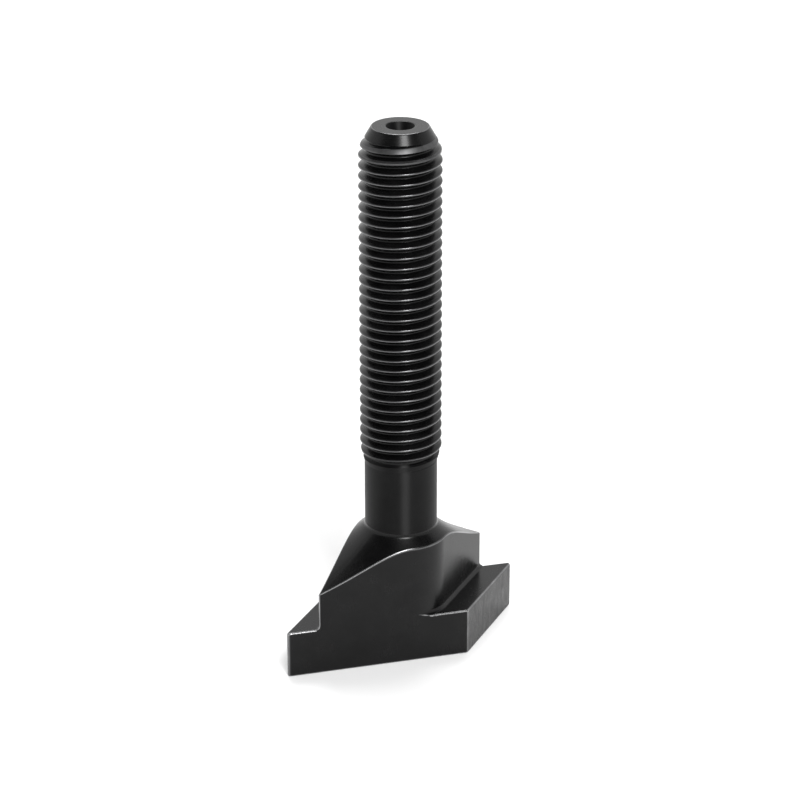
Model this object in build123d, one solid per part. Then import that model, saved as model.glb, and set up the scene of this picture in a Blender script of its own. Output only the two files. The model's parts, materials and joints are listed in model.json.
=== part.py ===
"""T slot bolt with a rhombic drop-in head: M16 thread, for an 18 mm slot.

One solid, in millimetres, with +Z up along the bolt. The origin is the centre of the
base of the head, on the bolt's axis. The slot that holds the head runs along Y.
"""
from build123d import *
import math
import os

# The slot that the head fits
slot_width = 18.0
slot_clearance = 0.2

# Head: a flange that sits below the slot's lips, and a neck between the lips
flange_width = 28.0
flange_height = 9.2
neck_height = 23.6
end_angle = 51.0
shoulder_angle = 39.0
shoulder_radius = 50.0
neck_root_radius = 0.8
flange_corner_radius = 0.5
flange_edge_break = 0.4

# Plain shank, turned to the root of the thread
shank_diameter = 13.7
shank_fillet = 1.0

# Threaded end
thread_diameter = 16.0
thread_length = 62.5
runout_length = 3.2
total_length = 104.2
end_face_diameter = 10.6
end_chamfer_angle = 30.0

# Lathe centre in the threaded end
centre_mouth_diameter = 5.3
centre_drill_diameter = 2.5
centre_drill_depth = 5.0
centre_angle = 60.0
drill_tip_angle = 118.0

# The head drops between the lips crosswise and then turns until the neck's flat
# sides stop on them, so the head is as thin across its ends as the neck is wide.
neck_width = slot_width - slot_clearance
drop_width = neck_width
half_neck = neck_width / 2
half_flange = flange_width / 2
half_drop = drop_width / 2
shank_radius = shank_diameter / 2


def end_face_point(x):
    """Where the near end face crosses a side at x: a point of the head's outline."""
    angle = math.radians(end_angle)
    return (x, (x * math.cos(angle) - half_drop) / math.sin(angle))


def opposite(point):
    """The matching point half a turn round the bolt's axis."""
    return (-point[0], -point[1])


def shoulder_height(radius):
    """Height of the shoulder at a distance from the bolt's axis.

    The shoulder is turned to a hollow arc. neck_height and shoulder_angle are its
    height and its slope where it crosses the middle of the neck's flat sides.
    """
    angle = math.radians(shoulder_angle)
    across = half_neck + shoulder_radius * math.sin(angle) - radius
    centre_height = neck_height + shoulder_radius * math.cos(angle)
    return centre_height - math.sqrt(shoulder_radius ** 2 - across ** 2)


def flange():
    """The slanted block that sits below the lips, with its edges broken."""
    right = end_face_point(half_flange)
    left = end_face_point(-half_flange)
    outline = Polyline(left, right, opposite(left), opposite(right), close=True)
    block = extrude(make_face(outline), flange_height)
    block = fillet(block.edges().filter_by(Axis.Z), flange_corner_radius)
    rims = block.faces().sort_by(Axis.Z)[0].edges() + block.faces().sort_by(Axis.Z)[-1].edges()
    return chamfer(rims, flange_edge_break)


def neck_section():
    """The neck seen from above: flat sides on the lips, ends flush with the flange's.

    Two of its corners are rounded about the bolt's axis, so that the head can turn
    between the lips. The two sharp ones stop the turn.
    """
    angle = math.radians(end_angle)
    side_foot = (half_neck, 0)
    end_foot = (half_drop * math.cos(angle), -half_drop * math.sin(angle))
    middle = (half_neck * math.cos(angle / 2), -half_neck * math.sin(angle / 2))
    sharp = end_face_point(-half_neck)
    return make_face(Wire([
        Line(opposite(sharp), side_foot),
        ThreePointArc(side_foot, middle, end_foot),
        Line(end_foot, sharp),
        Line(sharp, opposite(side_foot)),
        ThreePointArc(opposite(side_foot), opposite(middle), opposite(end_foot)),
        Line(opposite(end_foot), opposite(sharp)),
    ]))


def turned_blank():
    """Shoulder, shank, run-out, threaded length and chamfered end, turned as one."""
    reach = math.hypot(*end_face_point(-half_neck)) + neck_root_radius
    halfway = (reach + shank_radius) / 2
    rim = (reach, 0, shoulder_height(reach))
    hollow = (halfway, 0, shoulder_height(halfway))
    corner = (shank_radius, 0, shoulder_height(shank_radius))
    thread_radius = thread_diameter / 2
    end_radius = end_face_diameter / 2
    thread_start = total_length - thread_length
    chamfer_length = (thread_radius - end_radius) / math.tan(math.radians(end_chamfer_angle))
    turned_end = [
        corner,
        (shank_radius, 0, thread_start - runout_length),
        (thread_radius, 0, thread_start),
        (thread_radius, 0, total_length - chamfer_length),
        (end_radius, 0, total_length),
        (0, 0, total_length),
        (0, 0, 0),
        (reach, 0, 0),
        rim,
    ]
    shoulder = ThreePointArc(rim, hollow, corner)
    section = make_face([shoulder, *Polyline(*turned_end).edges()])
    root = section.vertices().sort_by_distance(corner)[0]
    return revolve(fillet(root, shank_fillet), Axis.Z)


def neck_and_shaft():
    """The turned blank, with the neck's flats and ends cut on its lower part."""
    neck_start = flange_height / 2
    neck_top = shoulder_height(shank_radius) + 2 * shank_fillet
    bar = Pos(0, 0, neck_start) * extrude(neck_section(), neck_top - neck_start)
    clear_radius = half_flange + thread_diameter
    above = Pos(0, 0, (neck_top + total_length) / 2) * Cylinder(clear_radius, total_length - neck_top)
    return turned_blank() & (bar + above)


def neck_root():
    """The fillet in the corner between the neck and the flange, on both sides.

    It runs straight along each flat side and turns with each rounded corner, and the
    end faces cut it off.
    """
    low = flange_height - flange_edge_break
    high = flange_height + neck_root_radius
    inner = half_neck - flange_edge_break
    outer = half_neck + neck_root_radius
    bend = 1 - math.sqrt(0.5)
    profile = Wire([
        Line((inner, 0, low), (outer, 0, low)),
        Line((outer, 0, low), (outer, 0, flange_height)),
        ThreePointArc(
            (outer, 0, flange_height),
            (half_neck + neck_root_radius * bend, 0, flange_height + neck_root_radius * bend),
            (half_neck, 0, high),
        ),
        Line((half_neck, 0, high), (inner, 0, high)),
        Line((inner, 0, high), (inner, 0, low)),
    ])
    section = make_face(profile)
    straight = extrude(section, drop_width + flange_width, dir=(0, 1, 0))
    corner = revolve(section, Axis.Z, -end_angle)
    one_side = straight + corner
    return one_side + one_side.rotate(Axis.Z, 180)


def between_end_faces():
    """The slab between the head's two slanted end faces."""
    reach = 4 * (flange_width + drop_width)
    return Box(drop_width, reach, reach).rotate(Axis.Z, -end_angle)


def lathe_centre():
    """The countersunk centre hole that carried the bolt in the lathe."""
    mouth = centre_mouth_diameter / 2
    drill = centre_drill_diameter / 2
    half_cone = math.tan(math.radians(centre_angle / 2))
    cone_depth = (mouth - drill) / half_cone
    tip = drill / math.tan(math.radians(drill_tip_angle / 2))
    outline = [
        (0, 0, total_length),
        (mouth, 0, total_length),
        (drill, 0, total_length - cone_depth),
        (drill, 0, total_length - centre_drill_depth),
        (0, 0, total_length - centre_drill_depth - tip),
    ]
    return revolve(make_face(Polyline(*outline, close=True)), Axis.Z)


def bolt():
    """The whole bolt, forged and turned as one piece."""
    root = neck_root() & between_end_faces()
    return flange() + neck_and_shaft() + root - lathe_centre()


os.makedirs("parts", exist_ok=True)
whole = bolt()
whole.label = "t_slot_bolt"
export_step(whole, "parts/t_slot_bolt.step")
print("volume mm3", round(whole.volume, 1), "solids", len(whole.solids()))
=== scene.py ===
# %% [markdown]
# # A black T slot bolt, one lesson in cells
# The bolt is one piece of steel: a slanted head that drops into a T slot and turns,
# a plain shank, and a long threaded end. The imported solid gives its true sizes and
# its place. The visible bolt is modelled here, because the thread is a real helix
# and every edge of the real bolt is a little rounded.

# %% Load the fixed frame
import json
import math

import bpy
import bmesh
import numpy as np
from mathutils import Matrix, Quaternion, Vector


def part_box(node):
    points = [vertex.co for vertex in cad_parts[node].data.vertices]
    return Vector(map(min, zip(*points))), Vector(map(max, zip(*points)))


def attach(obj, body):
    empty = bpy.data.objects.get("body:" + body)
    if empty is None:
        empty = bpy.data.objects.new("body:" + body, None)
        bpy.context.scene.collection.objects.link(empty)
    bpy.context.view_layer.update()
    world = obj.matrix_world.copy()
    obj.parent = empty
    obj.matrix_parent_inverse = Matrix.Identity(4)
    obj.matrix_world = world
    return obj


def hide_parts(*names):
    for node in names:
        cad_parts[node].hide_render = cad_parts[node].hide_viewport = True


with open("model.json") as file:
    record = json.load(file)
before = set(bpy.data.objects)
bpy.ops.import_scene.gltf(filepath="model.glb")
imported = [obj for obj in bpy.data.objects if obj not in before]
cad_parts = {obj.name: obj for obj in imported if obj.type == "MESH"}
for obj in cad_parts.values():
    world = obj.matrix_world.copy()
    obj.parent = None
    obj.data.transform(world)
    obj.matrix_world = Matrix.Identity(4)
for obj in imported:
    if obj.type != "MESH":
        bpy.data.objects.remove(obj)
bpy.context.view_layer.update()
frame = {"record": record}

NODE = "t_slot_bolt"

# %% [markdown]
# ## The sizes come from the frame
# The record's mounts say where the thread, the seats under the slot's lips and the
# neck's flat sides are. Reading them keeps this model on the solid, with no fitting.

# %% Read the sizes
MM = 0.001
mounts = {mount["name"]: mount for mount in frame["record"]["mounts"]}
low, high = (Vector(corner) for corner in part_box(NODE))

TOP = high.z
HALF_FLANGE = high.x
FLANGE_TOP = mounts["lip_seat_right"]["pos_m"][2]
HALF_NECK = mounts["neck_side_right"]["pos_m"][0]
THREAD_RADIUS = mounts["thread"]["dims"]["r_mm"] * MM
THREAD_START = mounts["thread"]["pos_m"][2]
print("bolt", round(TOP / MM, 2), "mm long, flange top at", round(FLANGE_TOP / MM, 2))

# %% [markdown]
# ## Sizes that no mount states
# The rest of the bolt's sizes are written once here, as the part's own source has
# them: the head's angle and height, the shoulder's arc, the shank, and the end.

# %% Write the other sizes
END_ANGLE = math.radians(51)
NECK_HEIGHT = 23.6 * MM
SHOULDER_ANGLE = math.radians(39)
SHOULDER_RADIUS = 50 * MM
NECK_ROOT = 0.8 * MM
SHANK_RADIUS = 6.85 * MM
SHANK_FILLET = 1.0 * MM
RUNOUT = 3.2 * MM
END_RADIUS = 5.3 * MM
PITCH = 2.0 * MM
HOLE_RADIUS = 2.65 * MM
DRILL_RADIUS = 1.25 * MM
DRILL_DEPTH = 5.0 * MM
EDGE_BREAK = 0.4 * MM

# %% [markdown]
# ## Outlines seen from above
# Every level of the head is a slanted parallelogram about the bolt's axis, so a level
# is given by its distance from the axis at each angle. Flat sides are straight lines
# in that form and rounded corners are arcs. Working with angles means that all levels
# share the same columns of points, and the skin between two levels is plain quads.

# %% Rays, planes and rounded corners
EDGE_ON = 0.01


def unit(angle):
    """The direction at an angle, seen from above."""
    return np.array([math.cos(angle), math.sin(angle)])


def meeting_point(one, other):
    """Where two lines meet, each given as (angle of its normal, distance)."""
    normals = np.array([unit(one[0]), unit(other[0])])
    return np.linalg.solve(normals, np.array([one[1], other[1]]))


def between(angle, start, stop):
    """True where an angle lies on the way round from start to stop."""
    return (angle - start) % math.tau <= (stop - start) % math.tau


def rounded_outline(sides, corner_radii):
    """A function from angles to distances, for a convex outline round the axis.

    sides are (angle of the normal, distance) in order round the axis, and
    corner_radii give the corner that follows each side.
    """
    arcs = []
    for k, radius in enumerate(corner_radii):
        side = sides[k]
        following = sides[(k + 1) % len(sides)]
        centre = meeting_point(
            (side[0], side[1] - radius), (following[0], following[1] - radius)
        )
        ends = [centre + radius * unit(one[0]) for one in (side, following)]
        arcs.append((centre, radius, *[math.atan2(y, x) for x, y in ends]))

    def distance(angle):
        for centre, radius, start, stop in arcs:
            if between(angle, start, stop):
                along = centre @ unit(angle)
                across = centre @ unit(angle + math.pi / 2)
                return along + math.sqrt(max(radius ** 2 - across ** 2, 0))
        reach = [gap / math.cos(angle - normal) for normal, gap in sides
                 if math.cos(angle - normal) > EDGE_ON]
        return min(reach)

    distance.arcs = arcs
    return distance


def head_outline(half_width, half_depth, sharp_radius, blunt_radius):
    """A parallelogram with two sides along the slot and two slanted ends."""
    sides = [(0, half_width), (math.pi - END_ANGLE, half_depth),
             (math.pi, half_width), (math.tau - END_ANGLE, half_depth)]
    return rounded_outline(sides, [sharp_radius, blunt_radius] * 2)


# %% [markdown]
# ## Columns
# The columns crowd together at the corners, where the outline turns quickly, and
# spread out along the flats, which need few points.

# %% Choose the columns' angles
FLANGE_CORNER = 0.5 * MM
NECK_CORNER = 0.15 * MM
COLUMNS_ROUND = 192
COLUMNS_IN_CORNER = 7
PAST_CORNER = 0.15

flange_outline = head_outline(HALF_FLANGE, HALF_NECK, FLANGE_CORNER, FLANGE_CORNER)
neck_outline = head_outline(HALF_NECK, HALF_NECK, NECK_CORNER, HALF_NECK)


def corner_angles(outline):
    """Angles spread over each small rounded corner of an outline."""
    found = []
    for _, radius, start, stop in outline.arcs:
        if radius < HALF_NECK:
            turn = (stop - start) % math.tau
            steps = np.linspace(-PAST_CORNER, 1 + PAST_CORNER, COLUMNS_IN_CORNER + 2)
            found.extend((start + turn * steps) % math.tau)
    return found


def column_angles():
    """Even angles all round, with the corners' own angles put in."""
    even = np.linspace(0, math.tau, COLUMNS_ROUND, endpoint=False)
    end_middles = [math.tau - END_ANGLE, math.pi - END_ANGLE]
    special = np.array(corner_angles(flange_outline) + corner_angles(neck_outline) + end_middles)
    gap = math.tau / COLUMNS_ROUND / 3
    clear = [angle for angle in even
             if np.abs((special - angle + math.pi) % math.tau - math.pi).min() > gap]
    return np.unique(np.round(np.concatenate([clear, special]), 6))


angles = column_angles()
print(len(angles), "columns")

# %% [markdown]
# ## Skins from rings
# A closed skin is a stack of rings with the same number of points, joined by quads
# and closed by a flat face at each end. One function makes the flange, the neck with
# its shank, and the turned envelope of the threaded end.

# %% Build a closed skin
def ring_points(radii, heights):
    """Points of one ring, from its distances and heights at every column."""
    radii = np.broadcast_to(radii, angles.shape)
    heights = np.broadcast_to(heights, angles.shape)
    return np.column_stack([radii * np.cos(angles), radii * np.sin(angles), heights])


def skin(name, rings):
    """A closed mesh from a stack of rings, lowest ring first."""
    count = len(angles)
    vertices = np.concatenate(rings)
    faces = [list(range(count))[::-1]]
    for level in range(len(rings) - 1):
        base = level * count
        for i in range(count):
            j = (i + 1) % count
            faces.append([base + i, base + j, base + count + j, base + count + i])
    top = (len(rings) - 1) * count
    faces.append([top + i for i in range(count)])
    mesh = bpy.data.meshes.new(name)
    mesh.from_pydata(vertices.tolist(), [], faces)
    thing = bpy.data.objects.new(name, mesh)
    bpy.context.scene.collection.objects.link(thing)
    print(name, len(vertices), "points,", len(faces), "faces")
    return thing


def quarter_round(steps):
    """Shares of a quarter circle, as (across, up) pairs from flat to upright."""
    turn = np.linspace(0, math.pi / 2, steps + 1)
    return list(zip(np.sin(turn), 1 - np.cos(turn)))


# %% [markdown]
# ## The flange
# The slanted block was milled, and its edges were broken by tumbling, so each edge is
# a small quarter round that catches the light.

# %% Model the flange
STEPS_ON_EDGE = 3


def flange_ring(inset, height):
    """One level of the flange, drawn in from its faces by inset."""
    outline = head_outline(HALF_FLANGE - inset, HALF_NECK - inset,
                           FLANGE_CORNER - inset, FLANGE_CORNER - inset)
    return ring_points(np.array([outline(a) for a in angles]), height)


def flange_rings():
    """The flange's levels: a broken lower edge, and the same upside down on top."""
    edge = [(EDGE_BREAK * (1 - across), EDGE_BREAK * up)
            for across, up in quarter_round(STEPS_ON_EDGE)]
    lower = [flange_ring(inset, rise) for inset, rise in edge]
    upper = [flange_ring(inset, FLANGE_TOP - rise) for inset, rise in edge[::-1]]
    return lower + upper


flange = skin("flange", flange_rings())

# %% [markdown]
# ## The neck and the plain shank
# The neck's ends run flush with the flange's ends, while its sides flare into the
# flange with a small fillet. Two corners are round about the axis so that the head
# can turn in its slot. The lathe cut the top of the neck to a hollow arc that climbs
# to the shank, and left a fillet where the shank rises.

# %% Model the neck and shank
NECK_BREAK = 0.2 * MM
SHANK_JOIN = 37.4 * MM
NECK_FOOT = FLANGE_TOP - 1.0 * MM
STEPS_IN_ROOT = 6
STEPS_IN_FILLET = 8
WALL_SHARES = (0.35, 0.7, 0.97)
SHOULDER_SHARES = (0.03, 0.15, 0.3, 0.45, 0.6, 0.75, 0.88)

ARC_ACROSS = HALF_NECK + SHOULDER_RADIUS * math.sin(SHOULDER_ANGLE)
ARC_HEIGHT = NECK_HEIGHT + SHOULDER_RADIUS * math.cos(SHOULDER_ANGLE)


def shoulder_height(radii):
    """Height of the shoulder's hollow arc at given distances from the axis."""
    return ARC_HEIGHT - np.sqrt(SHOULDER_RADIUS ** 2 - (ARC_ACROSS - radii) ** 2)


def shank_fillet_arc(steps):
    """Points (radius, height) of the fillet between the shoulder and the shank."""
    across = SHANK_RADIUS + SHANK_FILLET
    short = SHOULDER_RADIUS - SHANK_FILLET
    height = ARC_HEIGHT - math.sqrt(short ** 2 - (ARC_ACROSS - across) ** 2)
    start = math.atan2(ARC_ACROSS - across, ARC_HEIGHT - height)
    turn = np.linspace(start, math.pi / 2, steps + 1)
    return list(zip(across - SHANK_FILLET * np.sin(turn),
                    height - SHANK_FILLET * np.cos(turn)))


def flared_radii(flare):
    """The neck's outline with its sides, but not its flush ends, moved out."""
    outline = head_outline(HALF_NECK + flare, HALF_NECK, NECK_CORNER, NECK_CORNER)
    round_corner = HALF_NECK + flare
    radii = []
    for angle in angles:
        reach = outline(angle)
        by_blunt_corner = (between(angle, math.tau - END_ANGLE, 0)
                           or between(angle, math.pi - END_ANGLE, math.pi))
        if by_blunt_corner:
            reach = min(round_corner, HALF_NECK / abs(math.cos(angle + END_ANGLE)))
        radii.append(reach)
    return np.array(radii)


def wall_rings():
    """The neck's fillet at the flange, and its upright walls."""
    rings = [ring_points(flared_radii(NECK_ROOT), NECK_FOOT)]
    for across, up in quarter_round(STEPS_IN_ROOT):
        radii = flared_radii(NECK_ROOT * (1 - across))
        rings.append(ring_points(radii, FLANGE_TOP + NECK_ROOT * up))
    wall = flared_radii(0)
    foot = FLANGE_TOP + NECK_ROOT
    for share in WALL_SHARES:
        rings.append(ring_points(wall, foot + share * (shoulder_height(wall) - foot)))
    return rings


def neck_outline_at(inset):
    """The neck's distances at every column, drawn in from its faces by inset."""
    half = HALF_NECK - inset
    outline = head_outline(half, half, NECK_CORNER, half)
    return np.array([outline(angle) for angle in angles])


def neck_rings():
    """Walls, broken top edge, hollow shoulder, fillet and plain shank, from below."""
    rings = wall_rings()
    for across, up in quarter_round(STEPS_ON_EDGE)[::-1]:
        outer = neck_outline_at(NECK_BREAK * (1 - across))
        rings.append(ring_points(outer, shoulder_height(outer) - NECK_BREAK * up))
    fillet = shank_fillet_arc(STEPS_IN_FILLET)
    inner = fillet[0][0]
    for share in SHOULDER_SHARES:
        radii = outer + share * (inner - outer)
        rings.append(ring_points(radii, shoulder_height(radii)))
    rings.extend(ring_points(radius, height) for radius, height in fillet)
    rings.append(ring_points(SHANK_RADIUS, SHANK_JOIN))
    return rings


neck = skin("neck", neck_rings())

# %% [markdown]
# ## The thread
# Turning the thread's profile round the axis while it climbs one pitch a turn gives
# the rod. Its rows follow the helix, so the crests stay crisp. Rolled threads have
# rounded crests and roots with straight flanks 60 degrees apart between them.

# %% Draw the thread's profile
CREST_RADIUS = 7.7 * MM
ROOT_RADIUS = 6.45 * MM
CREST_ROUND = 0.17 * MM
ROOT_ROUND = 0.24 * MM
FLANK = math.radians(30)


def thread_profile():
    """One pitch of the thread, as (height, radius) points from one crest to the next."""
    crest_centre = CREST_RADIUS - CREST_ROUND
    root_centre = ROOT_RADIUS + ROOT_ROUND
    swing = np.linspace(0, math.pi / 2 - FLANK, 4)
    crest = [(CREST_ROUND * math.sin(s), crest_centre + CREST_ROUND * math.cos(s))
             for s in swing]
    root = [(PITCH / 2 - ROOT_ROUND * math.sin(s), root_centre - ROOT_ROUND * math.cos(s))
            for s in swing[::-1]]
    edge, foot = np.array(crest[-1]), np.array(root[0])
    flank = [tuple(edge + (foot - edge) * share) for share in (0.25, 0.5, 0.75)]
    rising = crest + flank + root
    falling = [(PITCH - height, radius) for height, radius in rising[::-1]]
    return rising + falling[1:-1]


print(len(thread_profile()), "points in one pitch")

# %% [markdown]
# ## Where the grooves start and stop
# The rolls leave the shank gradually, so the grooves grow from nothing at the run-out.
# At the chamfered end the first groove bites below the chamfer, and above it the
# blank's cone is whole. The floor says how deep the rod may go at each height, as
# (height, radius) points with straight lines between them.

# %% Model the threaded rod
THREAD_COLUMNS = 96
THREAD_PHASE = 1.685 * MM
RUNOUT_FLOOR = [(THREAD_START - 3.6 * MM, 7.05 * MM), (THREAD_START - 3.0 * MM, 6.85 * MM),
                (THREAD_START - 0.8 * MM, ROOT_RADIUS)]
END_FLOOR = [(TOP - 4.4 * MM, ROOT_RADIUS), (TOP - 3.0 * MM, 6.1 * MM),
             (TOP - 2.0 * MM, 6.1 * MM), (TOP - 1.65 * MM, 6.7 * MM)]
FLOOR_HEIGHTS, FLOOR_RADII = zip(*(RUNOUT_FLOOR + END_FLOOR))


def threaded_rod(start, turns):
    """A closed rod with the thread, climbing to the right."""
    profile = thread_profile()
    per_pitch = len(profile)
    rows = turns * per_pitch
    turned = np.arange(THREAD_COLUMNS) / THREAD_COLUMNS
    levels = []
    for row in range(rows + 1):
        height, radius = profile[row % per_pitch]
        heights = start + height + (row // per_pitch + turned) * PITCH
        floor = np.interp(heights, FLOOR_HEIGHTS, FLOOR_RADII)
        radii = np.maximum(radius - np.maximum(ROOT_RADIUS - floor, 0), floor)
        levels.append(np.column_stack([radii * np.cos(math.tau * turned),
                                       radii * np.sin(math.tau * turned), heights]))
    faces = []
    for row in range(rows):
        for i in range(THREAD_COLUMNS):
            a, b = row * THREAD_COLUMNS + i, (row + 1) * THREAD_COLUMNS + i
            if i + 1 < THREAD_COLUMNS:
                faces.append((a, a + 1, b + 1, b))
            elif row + per_pitch < rows:
                c = (row + per_pitch) * THREAD_COLUMNS
                faces.append((a, c, c + THREAD_COLUMNS, b))
    return rod_object(np.concatenate(levels).tolist(), faces)


def rod_object(vertices, faces):
    """The rod's mesh, with each open end closed by a fan of triangles."""
    shell = bmesh.new()
    points = [shell.verts.new(v) for v in vertices]
    for face in faces:
        shell.faces.new([points[k] for k in face])
    rims = [edge for edge in shell.edges if edge.is_boundary]
    heights = [v[2] for v in vertices]
    middle = sum(heights) / len(heights)
    tips = {False: shell.verts.new((0, 0, min(heights) - PITCH)),
            True: shell.verts.new((0, 0, max(heights) + PITCH))}
    for edge in rims:
        one, other = edge.verts
        tip = tips[one.co.z > middle]
        shell.faces.new((one, other, tip))
    bmesh.ops.recalc_face_normals(shell, faces=shell.faces)
    mesh = bpy.data.meshes.new("rod")
    shell.to_mesh(mesh)
    shell.free()
    thing = bpy.data.objects.new("rod", mesh)
    bpy.context.scene.collection.objects.link(thing)
    print("rod", len(mesh.vertices), "points,", len(mesh.polygons), "faces")
    return thing


ROD_START = (math.floor(SHANK_JOIN / PITCH) - 2) * PITCH + THREAD_PHASE - PITCH
rod = threaded_rod(ROD_START, math.ceil((TOP - ROD_START) / PITCH) + 2)

# %% [markdown]
# ## The turned envelope
# The lathe left the shank, the chamfer, the end face and the centre hole, and the
# thread's crests sink to the shank at the run-out. The first full turns below the
# chamfer are a little low too. What the rod and this envelope share is the finished
# threaded end.

# %% Model the envelope
CLEAR_RADIUS = THREAD_RADIUS + 0.3 * MM
CLEAR_RISE = 1.5 * MM
CLEAR_DEPTH = 7.0 * MM
FULL_DEPTH = 5.6 * MM
LOW_TURN_RADIUS = 7.47 * MM
LOW_TURN_DEPTH = 3.9 * MM
CHAMFER = math.tan(math.radians(30))
CHAMFER_FOOT = 7.2 * MM
RIM_BREAK = 0.15 * MM
CENTRE_SLOPE = math.tan(math.radians(30))
HOLD_GAP = 0.1 * MM


def hold_corners(outline, gap):
    """The outline with a point close to each end of its long straight parts."""
    points = [np.array(point) for point in outline]
    held = [points[0]]
    for one, other in zip(points, points[1:]):
        length = np.linalg.norm(other - one)
        if length > 4 * gap:
            held.append(one + (other - one) * gap / length)
            held.append(other - (other - one) * gap / length)
        held.append(other)
    return held


def make_envelope():
    """The turned outline, from the shank up and over into the centre hole."""
    outline = [
        (SHANK_RADIUS, SHANK_JOIN),
        (SHANK_RADIUS, THREAD_START - RUNOUT),
        (CREST_RADIUS, THREAD_START),
        (CLEAR_RADIUS, THREAD_START + CLEAR_RISE),
        (CLEAR_RADIUS, TOP - CLEAR_DEPTH),
        (CREST_RADIUS, TOP - FULL_DEPTH),
        (LOW_TURN_RADIUS, TOP - LOW_TURN_DEPTH),
        (CHAMFER_FOOT, TOP - (CHAMFER_FOOT - END_RADIUS) / CHAMFER),
        (END_RADIUS + RIM_BREAK * CHAMFER, TOP - RIM_BREAK),
        (END_RADIUS - RIM_BREAK * 0.3, TOP - RIM_BREAK * 0.25),
        (END_RADIUS - RIM_BREAK, TOP),
        (HOLE_RADIUS + RIM_BREAK, TOP),
        (HOLE_RADIUS, TOP - RIM_BREAK * 0.4),
        (DRILL_RADIUS, TOP - (HOLE_RADIUS - DRILL_RADIUS) / CENTRE_SLOPE),
        (DRILL_RADIUS, TOP - DRILL_DEPTH),
    ]
    outline = hold_corners(outline, HOLD_GAP)
    return skin("envelope", [ring_points(radius, height) for radius, height in outline])


envelope = make_envelope()

# %% [markdown]
# ## One piece of steel
# The flange and the neck are joined, the rod is cut to the envelope, and the two
# halves are welded at a ring on the plain shank, where their points are the same.
# The weld also drops what a cut can leave behind: an edge with no face, and a point
# that only two faces share. The result is one closed mesh, as the bolt is one piece.

# %% Join and cut
def combine(target, tool, operation):
    """Apply a boolean of two closed meshes to the first, and remove the second."""
    cut = target.modifiers.new(operation.lower(), "BOOLEAN")
    cut.operation = operation
    cut.solver = "MANIFOLD"
    cut.object = tool
    graph = bpy.context.evaluated_depsgraph_get()
    result = bpy.data.meshes.new_from_object(target.evaluated_get(graph))
    target.modifiers.clear()
    target.data = result
    bpy.data.objects.remove(tool)
    print(target.name, operation.lower(), len(result.polygons), "faces")
    return target


head = combine(flange, neck, "UNION")
threaded_end = combine(rod, envelope, "INTERSECT")

# %% Weld the two halves
FLATNESS = 0.001 * MM
WELD_REACH = 0.002 * MM
SLIVER = 0.0005 * MM


def open_end(thing, height):
    """Take away the flat faces that close a skin at the welding ring."""
    shell = bmesh.new()
    shell.from_mesh(thing.data)
    caps = [face for face in shell.faces
            if all(abs(vert.co.z - height) < FLATNESS for vert in face.verts)]
    bmesh.ops.delete(shell, geom=caps, context="FACES")
    shell.to_mesh(thing.data)
    shell.free()
    print(thing.name, len(caps), "closing faces removed")


def drop_spare_points(shell):
    """Take away edges that carry no face, and points that only two faces share."""
    bare = [edge for edge in shell.edges if not edge.link_faces]
    bmesh.ops.delete(shell, geom=bare, context="EDGES")
    spare = [vert for vert in shell.verts if len(vert.link_edges) <= 2]
    bmesh.ops.dissolve_verts(shell, verts=spare)
    return len(bare) + len(spare)


def weld(name, *things):
    """Join open meshes whose rims coincide into one closed mesh."""
    shell = bmesh.new()
    for thing in things:
        shell.from_mesh(thing.data)
        bpy.data.objects.remove(thing)
    bmesh.ops.remove_doubles(shell, verts=shell.verts, dist=WELD_REACH)
    bmesh.ops.dissolve_degenerate(shell, edges=shell.edges, dist=SLIVER)
    dropped = drop_spare_points(shell)
    rims = [edge for edge in shell.edges if len(edge.link_faces) != 2]
    bmesh.ops.recalc_face_normals(shell, faces=shell.faces)
    mesh = bpy.data.meshes.new(name)
    shell.to_mesh(mesh)
    shell.free()
    thing = bpy.data.objects.new(name, mesh)
    bpy.context.scene.collection.objects.link(thing)
    print(name, len(mesh.polygons), "faces,", dropped, "spare points and edges dropped,",
          len(rims), "open or doubled edges")
    return thing


open_end(head, SHANK_JOIN)
open_end(threaded_end, SHANK_JOIN)
bolt = weld("bolt", head, threaded_end)

# %% [markdown]
# ## Smooth faces and true edges
# Turned and rounded faces are shaded smoothly, and an edge that is sharp on the real
# bolt stays sharp. Weighted normals keep the large flats flat beside their rounded
# edges. The bolt then rides on the solid's body and stands for the solid in the frame.

# %% Smooth the curved faces and keep the true edges
SHARP = math.radians(32)
bolt.data.shade_smooth()
bolt.data.set_sharp_from_angle(angle=SHARP)
flatten = bolt.modifiers.new("flat faces stay flat", "WEIGHTED_NORMAL")
flatten.mode = "FACE_AREA"
flatten.weight = 80
flatten.keep_sharp = True

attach(bolt, "root")
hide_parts(NODE)

# %% [markdown]
# ## What sticks out gets rubbed
# Hands, nuts and other bolts rub the outward corners first. How tightly the surface
# curves outward is worked out at each point and kept on the mesh, so that the milled
# head's material can read it. The turned end is round, so its material can tell a
# crest by its distance from the axis, and needs no such measure.

# %% Measure the outward curve
def outward_curve(mesh):
    """How tightly the surface curves outward at each point, per millimetre."""
    shell = bmesh.new()
    shell.from_mesh(mesh)
    bend = np.zeros(len(mesh.vertices))
    area = np.zeros(len(mesh.vertices))
    for edge in shell.edges:
        outward = max(edge.calc_face_angle_signed(0), 0) * edge.calc_length() / 4
        for vert in edge.verts:
            bend[vert.index] += outward
    for face in shell.faces:
        share = face.calc_area() / len(face.verts)
        for vert in face.verts:
            area[vert.index] += share
    shell.free()
    return bend / area * MM


curve = outward_curve(bolt.data)
rubbed = bolt.data.attributes.new("outward curve", "FLOAT", "POINT")
rubbed.data.foreach_set("value", curve.astype(np.float32))
print("tightest outward curve", round(float(curve.max()), 2), "per mm")

# %% [markdown]
# ## Shader maths as plain sums
# A small class wraps a node's output, so that masks can be added and multiplied as
# Python expressions, and each expression adds its own Math node.

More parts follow.
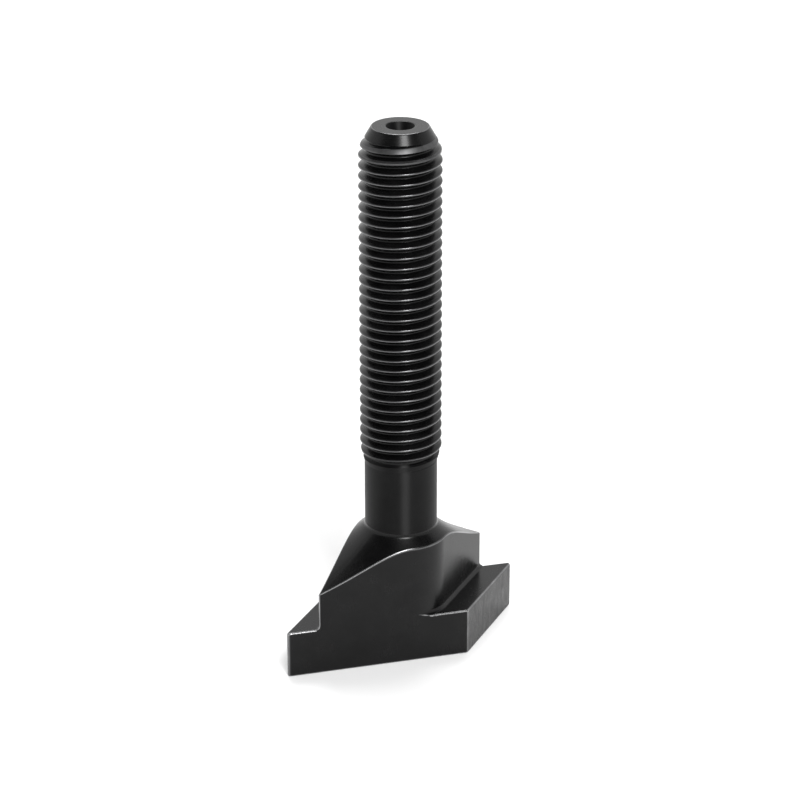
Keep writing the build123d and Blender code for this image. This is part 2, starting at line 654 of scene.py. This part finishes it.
# %% A material's node tree
class Socket:
    """A number that varies over the surface, with sums that add Math nodes."""

    def __init__(self, tree, link):
        self.tree = tree
        self.link = link

    def _math(self, operation, *values):
        settings = {"operation": operation}
        return self.tree.node("ShaderNodeMath", settings, dict(enumerate(values)))

    def __add__(self, other):
        return self._math("ADD", self, other)

    __radd__ = __add__

    def __sub__(self, other):
        return self._math("SUBTRACT", self, other)

    def __rsub__(self, other):
        return self._math("SUBTRACT", other, self)

    def __mul__(self, other):
        return self._math("MULTIPLY", self, other)

    __rmul__ = __mul__

    def between(self, low, high):
        """0 below low and 1 above high, with a smooth rise between them."""
        return self.tree.node("ShaderNodeMapRange", {"interpolation_type": "SMOOTHSTEP"},
                              {"Value": self, "From Min": low, "From Max": high})


class Tree:
    """The nodes of one material."""

    def __init__(self, name):
        self.material = bpy.data.materials.new(name)
        self.material.use_nodes = True
        self.nodes = self.material.node_tree.nodes
        self.nodes.clear()

    def node(self, kind, settings=None, inputs=None, output=0):
        """Add a node: its settings first, then its sockets' values and links."""
        made = self.nodes.new(kind)
        for key, value in (settings or {}).items():
            setattr(made, key, value)
        for key, value in (inputs or {}).items():
            socket = made.inputs[key]
            if isinstance(value, Socket):
                self.material.node_tree.links.new(value.link, socket)
            else:
                socket.default_value = value
        return Socket(self, made.outputs[output]) if made.outputs else None

    def colour_mix(self, share, one, other):
        """A colour between two colours."""
        return self.node("ShaderNodeMix", {"data_type": "RGBA"},
                         {0: share, 6: one, 7: other}, output=2)


# %% [markdown]
# ## Black oxide steel
# The bolt was blackened in a hot bath after machining. The skin is thin and nearly
# black, so the steel shows as a soft gloss that grows towards grazing light. Where the
# steel sticks out the skin is rubbed thin, and the steel under it shines. So a rubbed
# place turns to metal at once, and its colour follows more slowly. Cloudy patches and
# a fine grain keep the skin from looking like plastic.

# %% Make the blackened steel
SKIN_DARK = (0.0010, 0.0010, 0.0011, 1)
SKIN_LIGHT = (0.0030, 0.0030, 0.0031, 1)
BARE_STEEL = (0.32, 0.32, 0.325, 1)
SKIN_GLOSS = 1.31
ALONG_THE_BOLT = 0.25
MARK_DEPTH = 0.02 * MM
CLOUD_SCALE = 260.0
GRAIN_SCALE = 5200.0


def noise(tree, where, scale, detail=3.0):
    """Even, cloudy noise: the larger the scale, the smaller its grains."""
    inputs = {"Vector": where, "Scale": scale, "Detail": detail}
    return tree.node("ShaderNodeTexNoise", {}, inputs)


def vector_maths(tree, operation, one, other=None, output=0):
    """A vector node that needs no more than an operation and two vectors."""
    inputs = {0: one} if other is None else {0: one, 1: other}
    return tree.node("ShaderNodeVectorMath", {"operation": operation}, inputs, output)


def stretched(tree, where, factors):
    """A place with each of its directions stretched."""
    return vector_maths(tree, "MULTIPLY", where, factors)


def oxide_shader(tree, place, marks, depth, rub, roughness, turned, gloss=SKIN_GLOSS):
    """The black skin, with tool marks, and with bare steel where it is rubbed.

    depth is how deep the marks look, turned is how far the rings of a turned face
    stretch its highlights, and gloss is the skin's index of refraction.
    """
    cloud = noise(tree, place, CLOUD_SCALE, 4.0)
    grain = noise(tree, place, GRAIN_SCALE)
    skin_colour = tree.colour_mix(cloud.between(0.3, 0.7), SKIN_DARK, SKIN_LIGHT)
    colour = tree.colour_mix(rub, skin_colour, BARE_STEEL)
    bump = tree.node("ShaderNodeBump", {}, {
        "Height": 0.7 * marks + 0.3 * grain, "Strength": depth, "Distance": MARK_DEPTH,
    })
    shader = tree.node("ShaderNodeBsdfPrincipled", {}, {
        "Base Color": colour, "Roughness": roughness + 0.06 * cloud + 0.06 * marks,
        "Metallic": rub.between(0, 0.25), "IOR": gloss, "Anisotropic": turned,
        "Anisotropic Rotation": ALONG_THE_BOLT, "Normal": bump,
    })
    tree.node("ShaderNodeOutputMaterial", {}, {"Surface": shader})


# %% [markdown]
# ## The milled head
# The cutter left upright streaks on the head's sides, and the flange's long sides,
# which slide along the slot, are scuffed. Corners are worn in patches, so the wear
# from the mesh is multiplied by a slow noise instead of being drawn as a line.

# %% Make the milled finish
STREAK_SCALE = 2400.0
STREAK_STRETCH = (1, 1, 0.12)
SCUFF_SCALE = 700.0
SCUFF_STRETCH = (1, 1, 0.35)
HEAD_PATCH_SCALE = 420.0


def milled_oxide():
    """Black oxide on the milled head."""
    tree = Tree("milled black oxide")
    place = tree.node("ShaderNodeTexCoord", output="Object")
    height = tree.node("ShaderNodeSeparateXYZ", {}, {"Vector": place}, output=2)
    facing = tree.node("ShaderNodeNewGeometry", output=1)
    sideways = tree.node("ShaderNodeSeparateXYZ", {}, {"Vector": facing})
    streaks = noise(tree, stretched(tree, place, STREAK_STRETCH), STREAK_SCALE)
    curve = tree.node("ShaderNodeAttribute", {"attribute_name": "outward curve"}, output=2)
    patch = noise(tree, place, HEAD_PATCH_SCALE)
    corner = curve.between(0.3, 1.6) * (0.6 + 0.4 * patch.between(0.2, 0.8))
    side = (sideways * sideways).between(0.8, 0.95)
    side = side * (1 - height.between(FLANGE_TOP - MM, FLANGE_TOP))
    scuffs = streaks.between(0.4, 0.75) * patch.between(0.3, 0.7)
    worn = noise(tree, stretched(tree, place, SCUFF_STRETCH), SCUFF_SCALE)
    roughness = 0.20 + 0.10 * side * worn.between(0.4, 0.7)
    oxide_shader(tree, place, streaks, 0.20, corner + 0.16 * side * scuffs, roughness, 0.0)
    return tree.material


# %% [markdown]
# ## The turned end
# The shank and the threaded end were turned, with fine rings that stretch the plain
# shank's highlight along the bolt. Noise that reads only a point's distance from the
# axis and its height makes rings. The same two numbers find the crests, the end's rim
# and the first turn. That turn runs out on the chamfer's cone, so it is found by its
# distance from the cone, between two planes that climb as the thread does.

# %% Make the turned finish
RING_SCALE = 3600.0
RING_WANDER = (0.03, 0.03, 0.0)
END_PATCH_SCALE = 900.0
THREAD_CLIMB = (-0.046, -0.020, 1)


def turned_oxide(name, roughness, turned, gloss=SKIN_GLOSS):
    """Black oxide on a turned face, with its wear found from radius and height."""
    tree = Tree(name)
    place = tree.node("ShaderNodeTexCoord", output="Object")
    height = tree.node("ShaderNodeSeparateXYZ", {}, {"Vector": place}, output=2)
    radius = vector_maths(tree, "LENGTH", stretched(tree, place, (1, 1, 0)), output=1)
    climb = vector_maths(tree, "DOT_PRODUCT", place, THREAD_CLIMB, output=1)
    around = tree.node("ShaderNodeCombineXYZ", {}, {"X": radius, "Y": height, "Z": 0.0})
    wander = stretched(tree, place, RING_WANDER)
    rings = noise(tree, vector_maths(tree, "ADD", around, wander), RING_SCALE)
    patch = noise(tree, place, END_PATCH_SCALE)

    def outside(reach, width):
        """Points at least as far out as reach, with a soft edge of width millimetres."""
        return radius.between(reach - width * MM, reach)

    def above(start, stop):
        """Heights above a level that is given as a depth below the end face."""
        return height.between(TOP - start * MM, TOP - stop * MM)

    crest = outside(CREST_RADIUS, 0.2) * height.between(THREAD_START - MM, THREAD_START)
    low_turns = outside(CHAMFER_FOOT, 0.07) * above(5.1, 4.8)
    rim = outside(END_RADIUS - 0.05 * MM, 0.15) * above(0.15, 0.03)
    below_cone = END_RADIUS + CHAMFER * (TOP - height) - radius
    first_turn = (1 - below_cone.between(0.04 * MM, 0.12 * MM)) \
        * climb.between(TOP - 4.1 * MM, TOP - 3.8 * MM) \
        * (1 - climb.between(TOP - 2.45 * MM, TOP - 2.25 * MM))
    rub = 0.55 * crest + 0.2 * low_turns + 0.36 * first_turn + 0.8 * rim
    oxide_shader(tree, place, rings, 0.35, rub * (0.5 + 0.5 * patch),
                 roughness + 0.2 * first_turn, turned, gloss)
    return tree.material


# %% [markdown]
# ## A finish for each face
# The head, the plain shank, the threaded end and the centre hole have their own
# finishes. The hole's finish is duller than the skin, which darkens the hole as painted
# shade. Each face takes one by where its middle lies.

# %% Give each face its finish
SHANK_FOOT = shank_fillet_arc(1)[-1][1]
SHANK_TOP = THREAD_START - RUNOUT / 2
HOLE_FLOOR = TOP - 8 * MM
HOLE_MOUTH = TOP - 0.01 * MM
MILLED, TURNED, ROLLED, SHADED_HOLE = range(4)


def finish_of(face):
    """Which of the bolt's finishes a face has."""
    middle = face.center
    if middle.xy.length < HOLE_RADIUS and HOLE_FLOOR < middle.z < HOLE_MOUTH:
        return SHADED_HOLE
    if middle.z > SHANK_TOP:
        return ROLLED
    return TURNED if middle.z > SHANK_FOOT else MILLED


# The centre hole's finish has a lower gloss and more roughness, as painted shade that darkens
# the hole.
bolt.data.materials.clear()
for material in (milled_oxide(), turned_oxide("turned black oxide", 0.40, 1.0),
                 turned_oxide("rolled black oxide", 0.20, 0.0),
                 turned_oxide("sooty centre hole", 0.38, 0.0, 1.20)):
    bolt.data.materials.append(material)
for face in bolt.data.polygons:
    face.material_index = finish_of(face)
counts = np.bincount([face.material_index for face in bolt.data.polygons])
print("faces of the head, the shank, the threaded end and the hole:", counts.tolist())

# %% [markdown]
# ## The floor
# The floor is pale, plain and dull, so it takes a soft shadow and mirrors nothing.

# %% Lay the floor
FLOOR_SHADE = 0.93
FLOOR_REACH = 4.0


def plain_material(name, shade):
    """A dull grey with no gloss at all."""
    tree = Tree(name)
    shader = tree.node("ShaderNodeBsdfPrincipled", {}, {
        "Base Color": (shade, shade, shade, 1), "Roughness": 0.9, "Specular IOR Level": 0.0,
    })
    tree.node("ShaderNodeOutputMaterial", {}, {"Surface": shader})
    return tree.material


def flat_sheet(name, rim, material):
    """A flat sheet of one face with its material, not attached to the bolt."""
    mesh = bpy.data.meshes.new(name)
    mesh.from_pydata(rim, [], [tuple(range(len(rim)))])
    sheet = bpy.data.objects.new(name, mesh)
    sheet.data.materials.append(material)
    bpy.context.scene.collection.objects.link(sheet)
    print(name, "at", round(rim[0][2], 2), "m")
    return sheet


corners = [(x * FLOOR_REACH, y * FLOOR_REACH, 0)
           for x, y in ((-1, -1), (1, -1), (1, 1), (-1, 1))]
floor = flat_sheet("floor", corners, plain_material("pale floor", FLOOR_SHADE))

# %% [markdown]
# ## The light
# Black steel shows its shape by what it mirrors. A pale sky all round lights the
# steep faces, and a dark card overhead keeps the faces that look upward deep. One
# soft box in front and above draws the bright stripe along the shank and the crests,
# and a second one behind gives the far edges and the end face their sheen.

# %% Light it
SKY_STRENGTH = 1.1
world = bpy.data.worlds.new("pale studio")
bpy.context.scene.world = world
world.use_nodes = True
sky = world.node_tree.nodes["Background"]
sky.inputs["Color"].default_value = (1, 1, 1, 1)
sky.inputs["Strength"].default_value = SKY_STRENGTH
bpy.context.scene.view_settings.view_transform = "Standard"

VIEW_AZIMUTH = 23.35
AIM = Vector((0, 0, TOP / 2))


def towards(azimuth, elevation):
    """A direction from the bolt, measured from the camera's side."""
    a, e = math.radians(VIEW_AZIMUTH + azimuth), math.radians(elevation)
    return Vector((math.sin(a) * math.cos(e), -math.cos(a) * math.cos(e), math.sin(e)))


def soft_box(name, azimuth, elevation, distance, width, height, power):
    """A rectangular lamp that faces the middle of the bolt."""
    light = bpy.data.lights.new(name, "AREA")
    light.shape = "RECTANGLE"
    light.size = width
    light.size_y = height
    light.energy = power
    lamp = bpy.data.objects.new(name, light)
    lamp.location = AIM + towards(azimuth, elevation) * distance
    lamp.rotation_mode = "QUATERNION"
    lamp.rotation_quaternion = towards(azimuth, elevation).to_track_quat("Z", "Y")
    bpy.context.scene.collection.objects.link(lamp)
    print(name, "of", power, "W at", azimuth, "degrees round and", elevation, "up")


soft_box("key above", 17, 48, distance=0.9, width=0.28, height=0.36, power=7.2)
soft_box("back light", 180, 62, distance=0.9, width=0.5, height=0.4, power=4.5)

# %% Hang the dark card
CARD_SHADE = 0.08
CARD_HEIGHT = 0.95
CARD_REACH = 1.3
CARD_TO_FRONT = 0.45
CARD_CORNERS = 48

card_middle = towards(0, 0) * CARD_TO_FRONT
card_rim = [(card_middle.x + CARD_REACH * math.cos(k * math.tau / CARD_CORNERS),
             card_middle.y + CARD_REACH * math.sin(k * math.tau / CARD_CORNERS), CARD_HEIGHT)
            for k in range(CARD_CORNERS)]
card = flat_sheet("dark card above", card_rim[::-1], plain_material("card grey", CARD_SHADE))

# %% [markdown]
# ## The camera
# The camera stands a little above the bolt, and a long lens keeps the upright edges
# nearly parallel. It aims just below the bolt's middle and leans very slightly.

# %% Place the camera
VIEW_ELEVATION = 23.15
VIEW_DISTANCE = 0.540
LEAN = math.radians(-0.12)
AIM_LEFT = 0.14 * MM
AIM_DOWN = 1.46 * MM

lens = bpy.data.cameras.new("camera")
lens.sensor_width = 36.0
lens.lens = 130.0
lens.clip_start = 0.01
camera = bpy.data.objects.new("camera", lens)
camera.rotation_mode = "QUATERNION"
sight = towards(0, VIEW_ELEVATION)
turn = sight.to_track_quat("Z", "Y")
aim_point = AIM - turn @ Vector((AIM_LEFT, AIM_DOWN, 0))
camera.location = aim_point + sight * VIEW_DISTANCE
camera.rotation_quaternion = turn @ Quaternion((0, 0, 1), LEAN)
bpy.context.scene.collection.objects.link(camera)
bpy.context.scene.camera = camera
print("the camera looks down", VIEW_ELEVATION, "degrees through a lens of", lens.lens, "mm")
